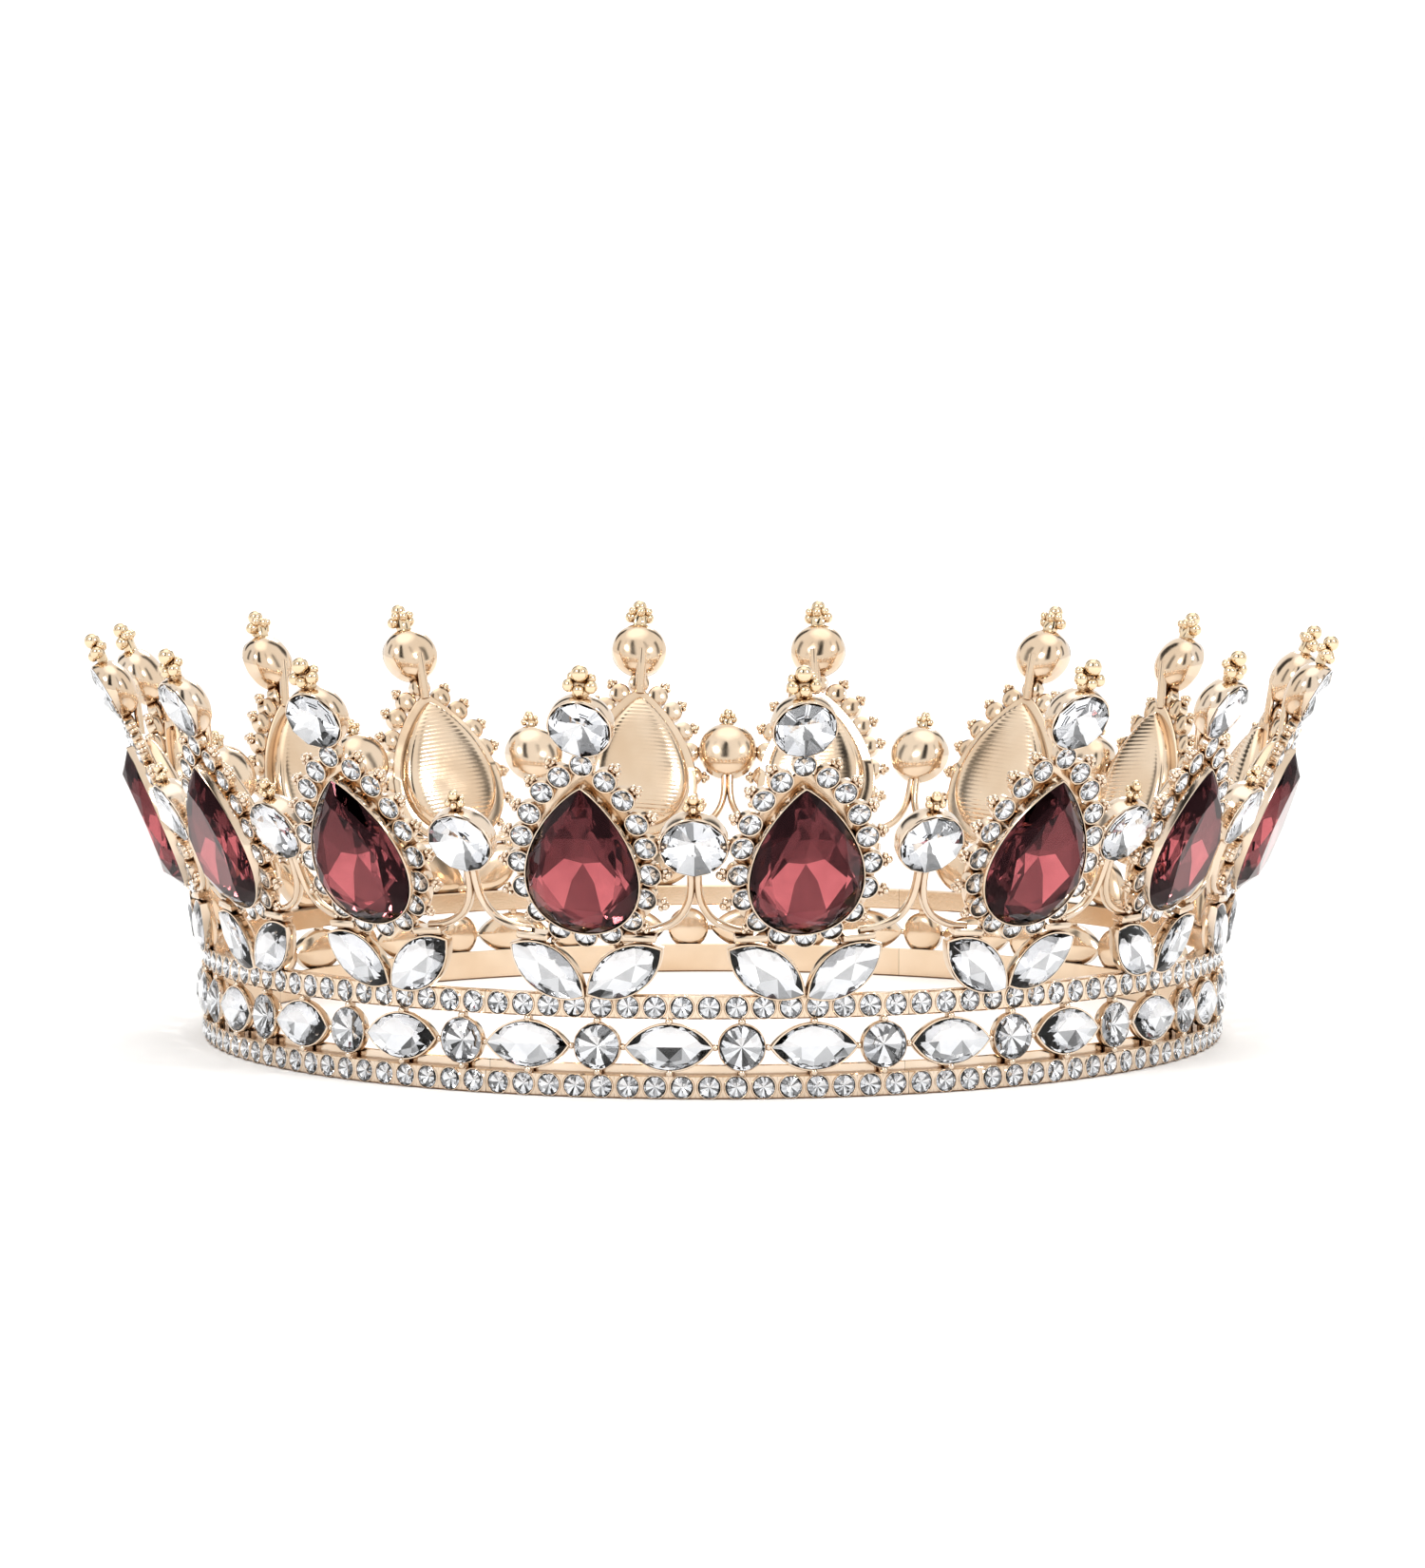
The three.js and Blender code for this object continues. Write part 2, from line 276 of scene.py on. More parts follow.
def cutStone(shape, place, outline, sides, front, back, girdle, tones):
    hull = bmesh.new()
    for share, height, every, shift in front + girdle + back:
        if share == 0:
            hull.verts.new((0, 0, height))
            continue
        for i in range(0, sides, every):
            a = 2 * math.pi * (i + shift) / sides % (2 * math.pi)
            x, y = outline(a)
            hull.verts.new((share * x, share * y, height))
    bmesh.ops.convex_hull(hull, input=hull.verts)
    bmesh.ops.dissolve_limit(hull, angle_limit=math.radians(0.6), verts=hull.verts, edges=hull.edges)
    hull.verts.ensure_lookup_table()
    hull.verts.index_update()
    halfWidth, halfHeight = max(v.co.x for v in hull.verts), max(v.co.y for v in hull.verts)
    low = min(height for _, height, _, _ in girdle) - 0.01
    start = len(shape["corners"])
    addTo(shape, place, [tuple(v.co) for v in hull.verts], [])
    for face in hull.faces:
        middle = face.calc_center_median()
        foil = middle.z < 0.01  # the foil wraps the back and the girdle
        # painted reflection: the girdle gets one painted brightness, the back facets one by where they sit
        tone = tones["girdle"]
        if middle.z < low:
            tone = toneAt(tones, middle.x / halfWidth, middle.y / halfHeight)
        shape["faces"].append([start + v.index for v in face.verts])
        shape["slots"].append(1 if foil else 0)
        shape["tones"].append(tone)
    hull.free()


print("shapes ready")

# finishes

def newFinish(name):
    finish = bpy.data.materials.new(name)
    finish.use_nodes = True
    tree = finish.node_tree
    return finish, tree, tree.nodes["Principled BSDF"]


def link(tree, source, output, target, socket):
    tree.links.new(source.outputs[output], target.inputs[socket])


def noiseOn(tree, scale, detail):
    where = tree.nodes.new("ShaderNodeTexCoord")
    noise = tree.nodes.new("ShaderNodeTexNoise")
    noise.inputs["Scale"].default_value = scale
    noise.inputs["Detail"].default_value = detail
    link(tree, where, "Object", noise, "Vector")
    return noise


def rampOn(tree, source, output, stops):
    ramp = tree.nodes.new("ShaderNodeValToRGB")
    while len(ramp.color_ramp.elements) < len(stops):
        ramp.color_ramp.elements.new(0.5)
    for element, (at, colour) in zip(ramp.color_ramp.elements, stops):
        element.position = at
        element.color = colour if len(colour) == 4 else (*colour, 1)
    link(tree, source, output, ramp, "Fac")
    return ramp


def grey(value):
    return (value, value, value)


goldFinish = {
    "pale": (0.765, 0.635, 0.51),
    "deep": (0.68, 0.535, 0.395),
    "sheenLow": 0.07,  # roughness where the plating is brightest
    "sheenHigh": 0.17,
    "patchScale": 90,
    "grainScale": 2600,
    "grainDepth": 0.05,
    "grainHeight": 0.1,
    # painted shade: how far the corner darkening reaches, and the dark brown it paints there
    "paintedShadeReach": 0.7,
    "paintedShadeColour": (0.34, 0.22, 0.13),
}

beadFinish = {"pale": (0.81, 0.65, 0.45), "deep": (0.73, 0.56, 0.365), "low": 0.04, "high": 0.10}
castFinish = {"pale": (0.77, 0.615, 0.46), "deep": (0.685, 0.51, 0.35), "low": 0.10, "high": 0.2}


def platedFinish(name, pale, deep, low, high):
    finish, tree, shader = newFinish(name)
    shader.inputs["Metallic"].default_value = 1.0
    patches = noiseOn(tree, goldFinish["patchScale"], 3)
    tone = rampOn(tree, patches, "Fac", [(0.35, deep), (0.65, pale)])
    cornerShadeNode = tree.nodes.new("ShaderNodeAmbientOcclusion")  # painted shade: the base colour is darkened to dark brown in corners, crevices and between parts
    cornerShadeNode.samples = 4
    cornerShadeNode.inputs["Distance"].default_value = goldFinish["paintedShadeReach"] * mm
    depth = rampOn(tree, cornerShadeNode, "AO", [(0.25, goldFinish["paintedShadeColour"]), (0.8, grey(1.0))])
    shaded = tree.nodes.new("ShaderNodeVectorMath")
    shaded.operation = "MULTIPLY"
    link(tree, tone, "Color", shaded, 0)
    link(tree, depth, "Color", shaded, 1)
    link(tree, shaded, "Vector", shader, "Base Color")
    wear = noiseOn(tree, goldFinish["patchScale"] * 3, 4)
    gloss = rampOn(tree, wear, "Fac", [(0.35, grey(low)), (0.7, grey(high))])
    link(tree, gloss, "Color", shader, "Roughness")
    grain = noiseOn(tree, goldFinish["grainScale"], 2)
    bump = tree.nodes.new("ShaderNodeBump")
    bump.inputs["Strength"].default_value = goldFinish["grainDepth"]
    bump.inputs["Distance"].default_value = goldFinish["grainHeight"] * mm
    link(tree, grain, "Fac", bump, "Height")
    link(tree, bump, "Normal", shader, "Normal")
    return finish


roseGold = platedFinish("roseGoldPolish", goldFinish["pale"], goldFinish["deep"],
                        goldFinish["sheenLow"], goldFinish["sheenHigh"])
beadGold = platedFinish("beadGold", **beadFinish)
castGold = platedFinish("castBackGold", **castFinish)

glassFinish = {
    "clear": (0.985, 0.99, 1.0),
    "clearCloud": (0.95, 0.955, 0.965),
    "clearBend": 1.36,  # how far the glass bends light
    "clearGlint": (1, 1, 1),  # the tint of what its face mirrors
    "wine": (0.60, 0.15, 0.163),
    "wineCloud": (0.52, 0.123, 0.137),
    "wineBend": 1.54,
    "wineGlint": (0.40, 0.16, 0.19),
    "foil": (0.93, 0.935, 0.95),
    "foilDim": (0.86, 0.87, 0.89),
    "wineFoil": (0.92, 0.90, 0.91),
    "wineFoilDim": (0.84, 0.80, 0.82),
}


def glassy(name, colour, cloud, bend, glint):
    finish, tree, shader = newFinish(name)
    cloudiness = noiseOn(tree, 240, 2)
    tone = rampOn(tree, cloudiness, "Fac", [(0.3, cloud), (0.6, colour)])
    link(tree, tone, "Color", shader, "Base Color")
    shader.inputs["Transmission Weight"].default_value = 1.0
    shader.inputs["Roughness"].default_value = 0.0
    shader.inputs["IOR"].default_value = bend
    shader.inputs["Specular Tint"].default_value = (*glint, 1)
    return finish


def foiled(name, colour, dim):
    finish, tree, shader = newFinish(name)
    shader.inputs["Metallic"].default_value = 1.0
    shader.inputs["Roughness"].default_value = 0.02
    mottle = noiseOn(tree, 420, 2)
    tone = rampOn(tree, mottle, "Fac", [(0.35, dim), (0.65, colour)])
    # painted reflection: the foil colour on each facet is scaled by its painted brightness, light and dark
    # facets in place of mirrored surroundings
    facet = tree.nodes.new("ShaderNodeAttribute")
    facet.attribute_name = "paintedFacetReflection"
    dimmed = tree.nodes.new("ShaderNodeVectorMath")
    dimmed.operation = "SCALE"
    link(tree, tone, "Color", dimmed, 0)
    tree.links.new(facet.outputs["Fac"], dimmed.inputs["Scale"])
    link(tree, dimmed, "Vector", shader, "Base Color")
    return finish


clearGlass = glassy("clearCutGlass", glassFinish["clear"], glassFinish["clearCloud"],
                    glassFinish["clearBend"], glassFinish["clearGlint"])
wineGlass = glassy("wineCutGlass", glassFinish["wine"], glassFinish["wineCloud"],
                   glassFinish["wineBend"], glassFinish["wineGlint"])
silverFoil = foiled("silverFoil", glassFinish["foil"], glassFinish["foilDim"])
wineFoil = foiled("wineFoil", glassFinish["wineFoil"], glassFinish["wineFoilDim"])
clearStone = [clearGlass, silverFoil]
wineStone = [wineGlass, wineFoil]
print("finishes ready")

# stones: painted reflection, how bright each foil facet is painted in place of the light and dark
# surroundings it would mirror, clockwise from the top, inside and outside the split

smallStone = {
    "radius": 1.5,
    "sides": 16,
    "tones": {
        "girdle": 1,
        "split": 0,
        "turn": 0,
        "outer": [1, 0.9, 0.3, 1, 0.6, 1, 1, 0.2, 1, 0.7, 1, 0.25, 1, 0.9, 0.4, 1],
    },
}
rowRound = {
    "radius": 3.25,
    "sides": 16,
    "tones": {
        "girdle": 1,
        "split": 0,
        "turn": 0,
        "outer": [1, 0.3, 1, 1, 0.55, 1, 0.2, 1, 1, 0.3, 1, 0.6, 1, 0.2, 1, 0.8],
    },
}
rowMarquise = {
    "halfLength": 6.0,
    "halfWidth": 3.1,
    "sides": 16,
    "tones": {
        "girdle": 1,
        "split": 0.4,
        "turn": 0,
        "inner": [1, 1, 0.35, 1, 0.9, 1],
        "outer": [1, 1, 0.9, 1, 0.6, 1, 1, 0.9, 1, 1],
    },
}
leafMarquise = {
    "halfLength": 6.15,
    "halfWidth": 3.15,
    "sides": 16,
    "tones": {
        "girdle": 1,
        "split": 0.4,
        "turn": 0,
        "inner": [1, 0.9, 1, 0.5, 1, 1],
        "outer": [1, 0.9, 1, 0.45, 0.8, 1, 1, 0.8, 1, 1],
    },
}
pearCut = {
    "halfWidth": 7.92,
    "halfLength": 11.0,
    "fullness": 0.7,
    "sides": 24,
    # painted reflection: mostly dark facets with a few bright ones in the lower half and a dark girdle, in
    # place of light from above and shade from below
    "tones": {
        "girdle": 0.2,
        "split": 0.66,
        "turn": 0.5,
        "inner": [0.22, 0.30, 0.34, 0.94, 0.32, 0.86, 0.30, 0.24],
        "outer": [0.12, 0.18, 0.14, 0.28, 0.14, 0.2, 0.5, 0.22, 0.55, 0.16, 0.26, 0.12],
    },
}
topRound = {
    "radius": 4.35,
    "sides": 10,
    "tones": {"girdle": 1, "split": 0, "turn": 0, "outer": [1, 1, 0.9, 1, 0.3, 1, 0.7, 1, 1, 1]},
}
lowRound = {
    "radius": 4.6,
    "sides": 12,
    "tones": {"girdle": 1, "split": 0, "turn": 0, "outer": [1, 1, 1, 0.9, 1, 0.3, 0.8, 1, 1, 0.9, 1, 1]},
}


def addSmallStone(shape, place):
    cutStone(shape, place, roundLine(smallStone["radius"]), smallStone["sides"],
             front=[(0.5, 0.45, 2, 0)], back=[(0, -0.55, 1, 0)],
             girdle=[(1.0, 0.05, 1, 0), (1.0, -0.05, 1, 0)], tones=smallStone["tones"])


def addRound(shape, place, size):
    # a flat table, bevels and a shallow point behind
    cutStone(shape, place, roundLine(size["radius"]), size["sides"],
             front=[(0.5, 0.95, 2, 0)],
             back=[(0, -1.15, 1, 0)],
             girdle=[(1.0, 0.1, 1, 0), (1.0, -0.1, 1, 0)], tones=size["tones"])


def addRivoli(shape, place, size, rise, depth):
    # pointed in front as well as behind
    cutStone(shape, place, roundLine(size["radius"]), size["sides"],
             front=[(0, rise, 1, 0)],
             back=[(0, -depth, 1, 0)],
             girdle=[(1.0, 0.1, 1, 0), (1.0, -0.1, 1, 0)], tones=size["tones"])


def addMarquise(shape, place, size):
    cutStone(shape, place, marquiseLine(size["halfLength"], size["halfWidth"]), size["sides"],
             front=[(0.66, 0.7, 2, 0)],
             back=[(0.55, -0.45, 4, 0), (0.3, -0.72, 8, 4)],
             girdle=[(1.0, 0.1, 1, 0), (1.0, -0.1, 1, 0)], tones=size["tones"])


def addPear(shape, place):
    line = pearLine(pearCut["halfWidth"], pearCut["halfLength"], pearCut["fullness"])
    cutStone(shape, place, line, pearCut["sides"],
             front=[(0.72, 2.2, 3, 0), (0.88, 1.4, 3, 1.5)],
             back=[(0.74, -1.2, 3, 1.5), (0.34, -2.1, 4, 2), (0.05, -2.4, 12, 0)],
             girdle=[(1.0, 0.15, 1, 0), (1.0, -0.15, 1, 0)], tones=pearCut["tones"])


allPieces = []


def putRound(name, mesh, stands=None):
    # one copy on each panel; stands gives the CAD node it stands for
    for n in range(1, panelCount + 1):
        piece = bpy.data.objects.new(name.replace("#", str(n)), mesh)
        bpy.context.scene.collection.objects.link(piece)
        piece.rotation_euler.z = (n - 1) * panelTurn
        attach(piece, "root")
        if stands:
            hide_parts(stands.replace("#", str(n)))
        allPieces.append(piece)


columns = {"a": -crownForm["column"], "b": crownForm["column"]}
overJoint = Matrix.Rotation(panelTurn / 2, 4, "Z")

# rails: a bar with a round seat drilled for each stone

rail = {
    "stones": 16,
    "inner": 75.0,
    "face": 77.0,
    "seat": 1.56,
    "lip": 0.14,
    "seatDepth": 0.85,
    "round": 0.22,
}
backRib = {
    "height": 1.3,  # over the lower rail, behind the row of stones
    "depth": 0.6,
    "round": 0.12,
}
halfSpan = panelTurn / 2 - crownForm["jointGap"] / 2 / rail["face"]


def railPoint(angle, radius, height):
    return (radius * math.sin(angle), -radius * math.cos(angle), height)


def addRail(shape, bottom, rib=False):
    height = crownForm["railHeight"]
    step = 2 * halfSpan / rail["stones"]
    half = step * rail["face"] / 2
    soft = rail["round"]
    middle = bottom + height / 2
    # the bar's back, top and underside
    section = [
        (rail["face"], height - soft), (rail["face"] - soft, height), (rail["inner"] + soft, height),
        (rail["inner"], height - soft), (rail["inner"], soft), (rail["inner"] + soft, 0),
        (rail["face"] - soft, 0), (rail["face"], soft),
    ]
    if rib:
        high, deep, edge = height + backRib["height"], rail["inner"] + backRib["depth"], backRib["round"]
        section[2:4] = [
            (deep, height), (deep, high - edge), (deep - edge, high), (rail["inner"] + edge, high),
            (rail["inner"], high - edge),
        ]
    count = rail["stones"] * 2
    corners, faces = [], []
    for i in range(count + 1):
        angle = -halfSpan + i * step / 2
        corners += [railPoint(angle, r, bottom + z) for r, z in section]
    for i in range(count):
        for j in range(len(section) - 1):
            a, b = i * len(section) + j, (i + 1) * len(section) + j
            faces.append([a, a + 1, b + 1, b])
    faces.append(list(range(len(section))))
    faces.append([count * len(section) + j for j in reversed(range(len(section)))])
    addTo(shape, Matrix.Identity(4), corners, faces)
    # the face, cell by cell
    ring = 24
    for cell in range(rail["stones"]):
        centre = -halfSpan + (cell + 0.5) * step
        corners, faces = [], []
        circles = [
            (rail["seat"] + 0.24, 0.0), (rail["seat"] + 0.14, rail["lip"]),
            (rail["seat"] + 0.03, rail["lip"]), (rail["seat"] - 0.06, 0.0),
            (rail["seat"] - 0.06, -rail["seatDepth"]), (0.3, -rail["seatDepth"] - 0.5),
        ]
        for i in range(ring):
            a = 2 * math.pi * (i + 0.5) / ring
            c, s = math.cos(a), math.sin(a)
            reach = min(half / max(abs(c), 1e-6), (height / 2 - soft) / max(abs(s), 1e-6))
            corners.append(railPoint(centre + reach * c / rail["face"], rail["face"], middle + reach * s))
        for radius, out in circles:
            for i in range(ring):
                a = 2 * math.pi * (i + 0.5) / ring
                x = radius * math.cos(a)
                limit = height / 2 - 0.02
                z = max(-limit, min(limit, radius * math.sin(a)))
                corners.append(railPoint(centre + x / rail["face"], rail["face"] + out, middle + z))
        for r in range(len(circles)):
            for i in range(ring):
                j = (i + 1) % ring
                faces.append([r * ring + i, r * ring + j, (r + 1) * ring + j, (r + 1) * ring + i])
        faces.append([len(circles) * ring + i for i in range(ring)])
        addTo(shape, Matrix.Identity(4), corners, faces)


def railStones(shape, bottom):
    step = 2 * halfSpan / rail["stones"]
    for cell in range(rail["stones"]):
        angle = -halfSpan + (cell + 0.5) * step
        across = rail["face"] * math.sin(angle)
        place = onPanel(across, bottom + crownForm["railHeight"] / 2)
        addSmallStone(shape, place @ Matrix.Rotation(cell * 1.9, 4, "Z"))


for title, bottom in (("lower", 0.0), ("upper", crownForm["upperRail"])):
    bar = newShape()
    addRail(bar, bottom, rib=title == "lower")
    mesh = meshOf(title + "Rail", bar, [roseGold, castGold], inside=1)
    putRound(title + "_rail_#", mesh, stands="panel_#")
    stones = newShape()
    railStones(stones, bottom)
    mesh = meshOf(title + "RailStones", stones, clearStone, flat=True)
    putRound(title + "_rail_stones_#", mesh)
print("rails ready")

# the row between the rails

row = {
    "height": 7.2,
    "post": 1.0,
    "wall": 0.3,
    "rim": 0.35,
    "back": -1.7,
}
marquiseReach = (rowMarquise["halfLength"] + row["wall"]) / crownForm["ringRadius"]
roundReach = (rowRound["radius"] + row["wall"]) / crownForm["ringRadius"]
pairPitch = 2 * halfSpan / 3
rowGap = (pairPitch - 2 * marquiseReach - 2 * roundReach) / 2


def rowPlaces():
    for pair in range(3):
        long = -halfSpan + pair * pairPitch + rowGap / 2 + marquiseReach
        short = long + marquiseReach + rowGap + roundReach
        yield "marquise", onPanel(crownForm["ringRadius"] * math.sin(long), row["height"])
        yield "round", onPanel(crownForm["ringRadius"] * math.sin(short), row["height"])


def addOpenCup(shape, place, line, sides, back, rim, wall=0.3, floor=-1.2):
    # thin bezel with a rounded back
    addTurned(shape, place, [
        (0.0001, back), (0.55, back + 0.05), (0.85, back + 0.35), (1.0, back + 0.95),
        (1.0, rim - 0.1), (0.985, rim), (0.94, rim), (0.93, rim - 0.3), (0.55, floor), (0.0001, floor - 0.1),
    ], line, sides)


rowCups = newShape()
for n, (kind, place) in enumerate(rowPlaces()):
    if kind == "marquise":
        line = marquiseLine(rowMarquise["halfLength"] + row["wall"], rowMarquise["halfWidth"] + row["wall"])
        sides = 32
    else:
        line = roundLine(rowRound["radius"] + 0.1)
        sides = 28
    addOpenCup(rowCups, place, line, sides, row["back"], row["rim"])
    for side in (-1, 1):
        post = place @ moved(0, side * 3.65, -0.5)
        addBlock(rowCups, post, row["post"], 1.3, 1.1)
        addBall(rowCups, post @ moved(0, side * -0.1, 0.55), 0.55)
for side in (-1, 1):
    for n, (kind, place) in enumerate(rowPlaces()):
        reach = rowMarquise["halfLength"] if kind == "marquise" else rowRound["radius"]
        if kind == "marquise" or side == 1:
            addBall(rowCups, place @ moved(side * (reach + 0.35), 0, -0.3), 0.5)
mesh = meshOf("rowCups", rowCups, [roseGold, castGold], inside=1)
putRound("row_cups_#", mesh, stands="panel_#")
for n, (kind, place) in enumerate(rowPlaces()):
    stone = newShape()
    if kind == "marquise":
        addMarquise(stone, place @ moved(0, 0, 0.3), rowMarquise)
    else:
        addRound(stone, place @ moved(0, 0, 0.35), rowRound)
    mesh = meshOf("row" + kind.title(), stone, clearStone, flat=True)
    putRound("row_%s_%d_#" % (kind, n // 2 + 1), mesh)
print("row ready")

# leaves under each column, and the bars over them

leaf = {
    "across": 5.3,
    "height": 17.9,
    "angle": math.radians(33),
    "barHeight": 22.7,
    "barAcross": 7.4,
    "footAcross": 8.4,
    "wall": 0.3,
}


def leafPlace(across, side):
    return onPanel(across + side * leaf["across"], leaf["height"], turn=side * leaf["angle"])


leafCups = newShape()
for across in columns.values():
    for side in (-1, 1):
        place = leafPlace(across, side)
        wall = leaf["wall"]
        line = marquiseLine(leafMarquise["halfLength"] + wall, leafMarquise["halfWidth"] + wall)
        addOpenCup(leafCups, place, line, 32, -1.3, 1.0, floor=-0.8)
        bar = onPanel(across + side * leaf["barAcross"], leaf["barHeight"], out=-0.1)
        addBlock(leafCups, bar, 4.6, 1.0, 2.4, soft=0.3)
        foot = onPanel(across + side * leaf["footAcross"], leaf["barHeight"] - 1.0, out=-0.4)
        addBlock(leafCups, foot, 1.4, 1.6, 1.5)
    addBlock(leafCups, onPanel(across, railTop + 0.4, out=-0.3), 3.4, 1.2, 1.8, soft=0.3)
mesh = meshOf("leafCups", leafCups, [roseGold, castGold], inside=1)
putRound("leaf_cups_#", mesh, stands="panel_#")
for letter, across in columns.items():
    for hand, side in (("left", -1), ("right", 1)):
        stone = newShape()
        addMarquise(stone, leafPlace(across, side) @ moved(0, 0, 0.95), leafMarquise)
        name = "leaf_stone_#%s_%s" % (letter, hand)
        putRound(name, meshOf("leafStone", stone, clearStone, flat=True))
print("leaves ready")

# pears and their halos

pear = {
    "height": 34.15,
    "rim": 1.9,
    "wall": 0.35,
    "girdle": 1.75,
    "backDepth": 3.6,
    "ribPitch": 0.7,
    "ribDepth": 0.03,
    "backRows": 150,
    "backColumns": 20,
}
haloSpots = [  # right-hand half, from the pear's middle
    (0, 14.25), (3.2, 12.1), (5.7, 9.5), (7.6, 6.05), (8.75, 2.5), (9.25, -1.55),
    (8.6, -5.4), (6.6, -8.9), (3.6, -11.3), (0, -12.1),
]
halo = {
    "girdle": 0.75,
    "cup": 1.78,
    "back": -0.9,
    "bead": 0.55,
    "sideBead": 0.43,
}


def haloPlaces():
    for n, (x, y) in enumerate(haloSpots):
        before = haloSpots[max(n - 1, 0)]
        after = haloSpots[min(n + 1, len(haloSpots) - 1)]
        along = Vector((after[0] - before[0], after[1] - before[1]))
        if x == 0:
            along = Vector((1, 0)) if y > 0 else Vector((-1, 0))
        normal = Vector((-along.y, along.x)).normalized()
        for side in ((1, -1) if x else (1,)):
            yield n, side * x, y, math.atan2(-side * normal.x, normal.y)


def pearBy(grown):
    return pearLine(pearCut["halfWidth"] + grown, pearCut["halfLength"] + grown, pearCut["fullness"])


def addHalo(shape, place):
    for n, x, y, turn in haloPlaces():
        cup = place @ moved(x, y, 0) @ Matrix.Rotation(turn, 4, "Z")
        r = halo["cup"]
        addTurned(shape, cup, [
            (0.0001, halo["back"]), (0.7, halo["back"] + 0.05), (0.95, halo["back"] + 0.35),
            (1.0, halo["girdle"] - 0.1), (0.97, halo["girdle"] + 0.08), (0.88, halo["girdle"] + 0.08),
            (0.85, halo["girdle"] - 0.2), (0.8, halo["girdle"] - 0.7), (0.0001, halo["girdle"] - 1.2),
        ], roundLine(r), 20)
        if n in (0, 9):
            continue
        small = 0.75 if n >= 7 else 1.0
        long = 0.35 if n == 6 else 0.0
        addBlock(shape, cup @ moved(0, r + 0.25 + long / 2, 0), 0.7, 1.0 + long, 1.1, soft=0.2)
        addBall(shape, cup @ moved(0, r + 0.8 + long, 0.15), halo["bead"] * small, (1, 1, 1.45))
        for side in (-1, 1):
            spot = cup @ moved(side * 0.62 * small, r + 0.32 + long, 0.1)
            addBall(shape, spot, halo["sideBead"] * small, (1, 1, 1.5))
    # the web that carries the cups, round the pear's bezel
    addWall(shape, place, [
        (0.2, -1.1), (1.9, -1.1), (2.1, -0.95), (2.1, -0.65), (1.9, -0.5), (0.2, -0.5),
    ], pearBy, 64)


def addPearCup(shape, place):
    wall, rim = pear["wall"], pear["rim"]
    addWall(shape, place, [
        (wall, -1.2), (wall, rim - 0.12), (wall - 0.1, rim + 0.02), (0.12, rim + 0.02),
        (0.04, rim - 0.12), (0.0, 0.4), (-0.6, -1.2),
    ], pearBy, 72)


def addRibbedBack(shape, place):
    # the cast back of the cup: a shallow dome, ribbed across its middle
    line = pearBy(pear["wall"] - 0.02)
    rowsUp, columnsAcross = pear["backRows"], pear["backColumns"]
    corners, faces = [], []
    for i in range(rowsUp + 1):
        a = math.pi * i / rowsUp
        width, y = line(a)
        lift = math.sin(a) ** 0.6
        for j in range(columnsAcross + 1):
            t = 2 * j / columnsAcross - 1
            dome = max(0.0, 1 - abs(t) ** 2.6) ** 0.5
            depth = pear["backDepth"] * lift * dome
            flat = max(0.0, min(1.0, (0.62 - abs(t)) / 0.1)) * max(0.0, min(1.0, (lift - 0.5) / 0.15))
            rib = pear["ribDepth"] * flat * math.cos(2 * math.pi * y / pear["ribPitch"])
            corners.append((width * math.sin(t * math.pi / 2), y, -0.9 - depth * 0.75 - rib))
    for i in range(rowsUp):
        for j in range(columnsAcross):
            p, q = i * (columnsAcross + 1) + j, (i + 1) * (columnsAcross + 1) + j
            faces.append([p, p + 1, q + 1, q])
    addTo(shape, place, corners, faces, 1)


for letter, across in columns.items():
    place = onPanel(across, pear["height"])
    ring = newShape()
    addHalo(ring, place)
    mesh = meshOf("halo", ring, [roseGold, castGold], inside=1)
    putRound("halo_#" + letter, mesh, stands="panel_#")
    cup = newShape()
    addPearCup(cup, place)
    addRibbedBack(cup, place)
    mesh = meshOf("pearCup", cup, [roseGold, castGold], crease=50, inside=1)
    putRound("pear_cup_#" + letter, mesh, stands="panel_#")
    stones = newShape()
    for n, x, y, turn in haloPlaces():
        spot = place @ moved(x, y, halo["girdle"] - 0.05)
        addSmallStone(stones, spot @ Matrix.Rotation(n * 2.3 + x, 4, "Z"))
    putRound("halo_stones_#" + letter, meshOf("haloStones", stones, clearStone, flat=True))
    stone = newShape()
    addPear(stone, place @ moved(0, 0, pear["girdle"]))
    putRound("pear_glass_#" + letter, meshOf("pearGlass", stone, wineStone, flat=True),
             stands="pear_stone_#" + letter)
print("pears ready")

# the round stones: one at the head of each column and one between columns

finialForm = {
    "topHeight": 52.8,
    "lowHeight": 36.3,
    "tilt": math.radians(8),
    "girdle": 1.6,
    "rim": 1.45,
    "wall": 0.25,
    "topBeads": 1.0,  # size of the bead cluster
    "lowBeads": 0.64,
    "stem": [(45.5, -0.9), (47.5, -1.5), (50.0, -2.2), (52.2, -2.7)],  # height, and how far behind the sheet
    "scroll": [  # across and height, from the cup down to the bar
        (0.5, 33.0), (0.5, 29.8), (0.9, 27.6), (1.8, 25.9), (3.1, 24.7), (5.4, 23.7), (8.0, 23.3),
    ],
}
finialFinishes = [roseGold, beadGold, castGold]
beadSlot = 1
castSlot = 2
outwards = Vector((0, -1, 0))


def addDeepCup(shape, place, radius):
    outer = radius + finialForm["wall"]
    rim = finialForm["rim"]
    addTurned(shape, place, [
        (0.0001, -3.0), (0.3, -2.9), (0.55, -2.6), (0.78, -2.0), (0.93, -1.2), (1.0, -0.3),
        (1.0, rim - 0.12), (0.98, rim), (0.945, rim), (0.93, rim - 0.15), (0.9, 0.9), (0.0001, -2.0),
    ], roundLine(outer), 40)


